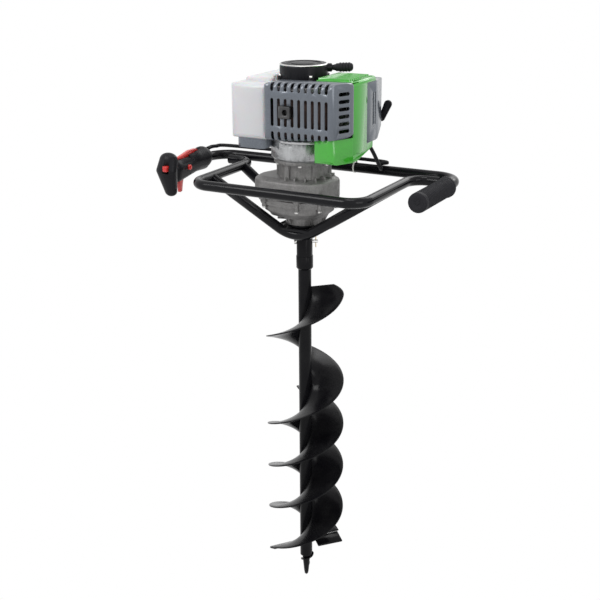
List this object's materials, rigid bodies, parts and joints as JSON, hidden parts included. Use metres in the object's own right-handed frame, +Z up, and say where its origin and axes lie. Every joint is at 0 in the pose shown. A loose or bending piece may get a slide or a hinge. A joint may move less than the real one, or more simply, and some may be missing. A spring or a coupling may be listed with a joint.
{
  "type": "earth auger",
  "caption": "Engine-driven earth auger: tube frame with grips, reduction gearbox, petrol engine with recoil starter and a screw bit that bores holes in soil.",
  "frame": {"origin": "on the output shaft's axis, at the underside of the base plate", "axes": "+Z up along the output shaft away from the bit, +X towards the right grip, +Y from the front bar towards the rear bar"},
  "size_m": [0.7461, 0.3432, 1.411],
  "materials": {
    "frame_paint": "gloss",
    "bit_paint": "gloss",
    "bright_steel": "satin",
    "dark_steel": "satin",
    "clip_brass": "satin",
    "casting": "matte",
    "muffler_steel": "matte",
    "grey_cover": "satin",
    "green_cover": "gloss",
    "black_plastic": "matte",
    "grip_rubber": "matte",
    "red_plastic": "gloss",
    "white_plastic": "satin",
    "plug_ceramic": "gloss",
    "lever_brass": "satin"
  },
  "bodies": {
    "frame": {"handlebar": "frame_paint", "front_loop": "frame_paint", "front_brace": "frame_paint", "rear_brace": "frame_paint", "base_plate": "frame_paint", "mounting_ring": "frame_paint", "plate_bolts": "bright_steel", "grip_left_half": "black_plastic", "grip_right_half": "black_plastic", "grip_screws": "dark_steel", "right_grip": "grip_rubber", "control_conduit": "black_plastic", "cable_ties": "white_plastic", "shaft_bearings": "bright_steel", "shaft_seals": "grip_rubber", "gearbox_cover": "casting", "gearbox_housing": "casting", "gearbox_bolts": "bright_steel", "clutch_housing": "casting", "crankcase": "casting", "cylinder": "casting", "spark_plug": "plug_ceramic", "plug_cap": "grip_rubber", "muffler": "muffler_steel", "exhaust_outlet": "dark_steel", "muffler_guard": "grey_cover", "engine_cowl": "green_cover", "carburettor": "casting", "filter_cover": "grey_cover", "fuel_tank": "white_plastic", "tank_guard": "grey_cover", "starter_cover": "black_plastic"},
    "bit": {"bit_tube": "bit_paint", "bit_socket": "bit_paint", "main_flight": "bit_paint", "second_flight": "bit_paint", "cutter_blades": "bit_paint", "pilot_point": "bit_paint", "drive_pin": "bright_steel", "r_clip": "clip_brass", "output_shaft": "bright_steel", "output_gear": "bright_steel"},
    "second_shaft": {"second_layshaft": "bright_steel"},
    "first_shaft": {"first_layshaft": "bright_steel"},
    "drum": {"clutch_drum": "bright_steel", "input_pinion": "bright_steel"},
    "crank": {"crankshaft": "bright_steel", "flywheel": "casting", "clutch_hub": "bright_steel"},
    "shoe_front": {"front_shoe": "dark_steel"},
    "shoe_rear": {"rear_shoe": "dark_steel"},
    "handle": {"starter_handle": "black_plastic"},
    "reel": {"starter_reel": "white_plastic"},
    "trigger": {"throttle_trigger": "red_plastic"},
    "throttle": {"throttle_lever": "lever_brass"},
    "lockoff": {"lockoff_lever": "red_plastic"},
    "button": {"start_button": "red_plastic"},
    "switch": {"stop_switch": "red_plastic"},
    "choke": {"choke_lever": "black_plastic"},
    "cap": {"fuel_cap": "black_plastic"}
  },
  "joints": [
    {"name": "bit_spin", "type": "hinge", "parent": "frame", "child": "bit", "pos_m": [0, 0, 0], "axis": [0, 0, 1], "continuous": true},
    {"name": "second_shaft_spin", "type": "hinge", "parent": "frame", "child": "second_shaft", "pos_m": [-0.04018, 0.03608, 0.06], "axis": [0, 0, 1], "continuous": true},
    {"name": "first_shaft_spin", "type": "hinge", "parent": "frame", "child": "first_shaft", "pos_m": [-0.04902, -0.01314, 0.08], "axis": [0, 0, 1], "continuous": true},
    {"name": "drum_spin", "type": "hinge", "parent": "frame", "child": "drum", "pos_m": [0, 0, 0.1], "axis": [0, 0, 1], "continuous": true},
    {"name": "crank_spin", "type": "hinge", "parent": "frame", "child": "crank", "pos_m": [0, 0, 0.262], "axis": [0, 0, 1], "continuous": true},
    {"name": "front_shoe_swing", "type": "hinge", "parent": "crank", "child": "shoe_front", "pos_m": [-0.027, 0, 0.196], "axis": [0, 0, 1], "range_deg": [-3, 0], "stiffness_Nm_per_rad": 3, "springref_deg": 2.86},
    {"name": "rear_shoe_swing", "type": "hinge", "parent": "crank", "child": "shoe_rear", "pos_m": [0.027, 0, 0.196], "axis": [0, 0, 1], "range_deg": [-3, 0], "stiffness_Nm_per_rad": 3, "springref_deg": 2.86},
    {"name": "starter_pull", "type": "slide", "parent": "frame", "child": "handle", "axis": [0.8192, 0.5736, 0], "range_m": [0, 0.6], "stiffness_N_per_m": 20, "springref_m": -0.2},
    {"name": "reel_spin", "type": "hinge", "parent": "frame", "child": "reel", "pos_m": [0, 0, 0.376], "axis": [0, 0, 1], "range_deg": [0, 1200]},
    {"name": "trigger_swing", "type": "hinge", "parent": "frame", "child": "trigger", "pos_m": [-0.346, -0.034, 0.102], "axis": [1, 0, 0], "range_deg": [0, 12], "stiffness_Nm_per_rad": 1.5, "springref_deg": -11.46},
    {"name": "throttle_swing", "type": "hinge", "parent": "frame", "child": "throttle", "pos_m": [0.077, 0.07, 0.235], "axis": [0, 0, 1], "range_deg": [0, 60]},
    {"name": "lockoff_press", "type": "hinge", "parent": "frame", "child": "lockoff", "pos_m": [-0.346, -0.038, 0.143], "axis": [1, 0, 0], "range_deg": [-4, 0], "stiffness_Nm_per_rad": 2, "springref_deg": 5.73},
    {"name": "start_button_press", "type": "slide", "parent": "frame", "child": "button", "axis": [-1, 0, 0], "range_m": [0, 0.003], "stiffness_N_per_m": 400, "springref_m": -0.004},
    {"name": "stop_switch_slide", "type": "slide", "parent": "frame", "child": "switch", "axis": [0, 0, 1], "range_m": [-0.005, 0]},
    {"name": "choke_turn", "type": "hinge", "parent": "frame", "child": "choke", "pos_m": [0.14, 0.139, 0.258], "axis": [0, 1, 0], "range_deg": [-60, 0]},
    {"name": "fuel_cap_turn", "type": "hinge", "parent": "frame", "child": "cap", "pos_m": [-0.1, 0.112, 0.306], "axis": [0, 1, 0], "range_deg": [0, 360]}
  ],
  "couplings": [
    {"joint": "second_shaft_spin", "follows": "bit_spin", "ratio": -3},
    {"joint": "first_shaft_spin", "follows": "bit_spin", "ratio": 9.5},
    {"joint": "drum_spin", "follows": "bit_spin", "ratio": -36.417},
    {"joint": "reel_spin", "follows": "starter_pull", "rad_per_m": 33},
    {"joint": "throttle_swing", "follows": "trigger_swing", "ratio": 4.5}
  ]
}
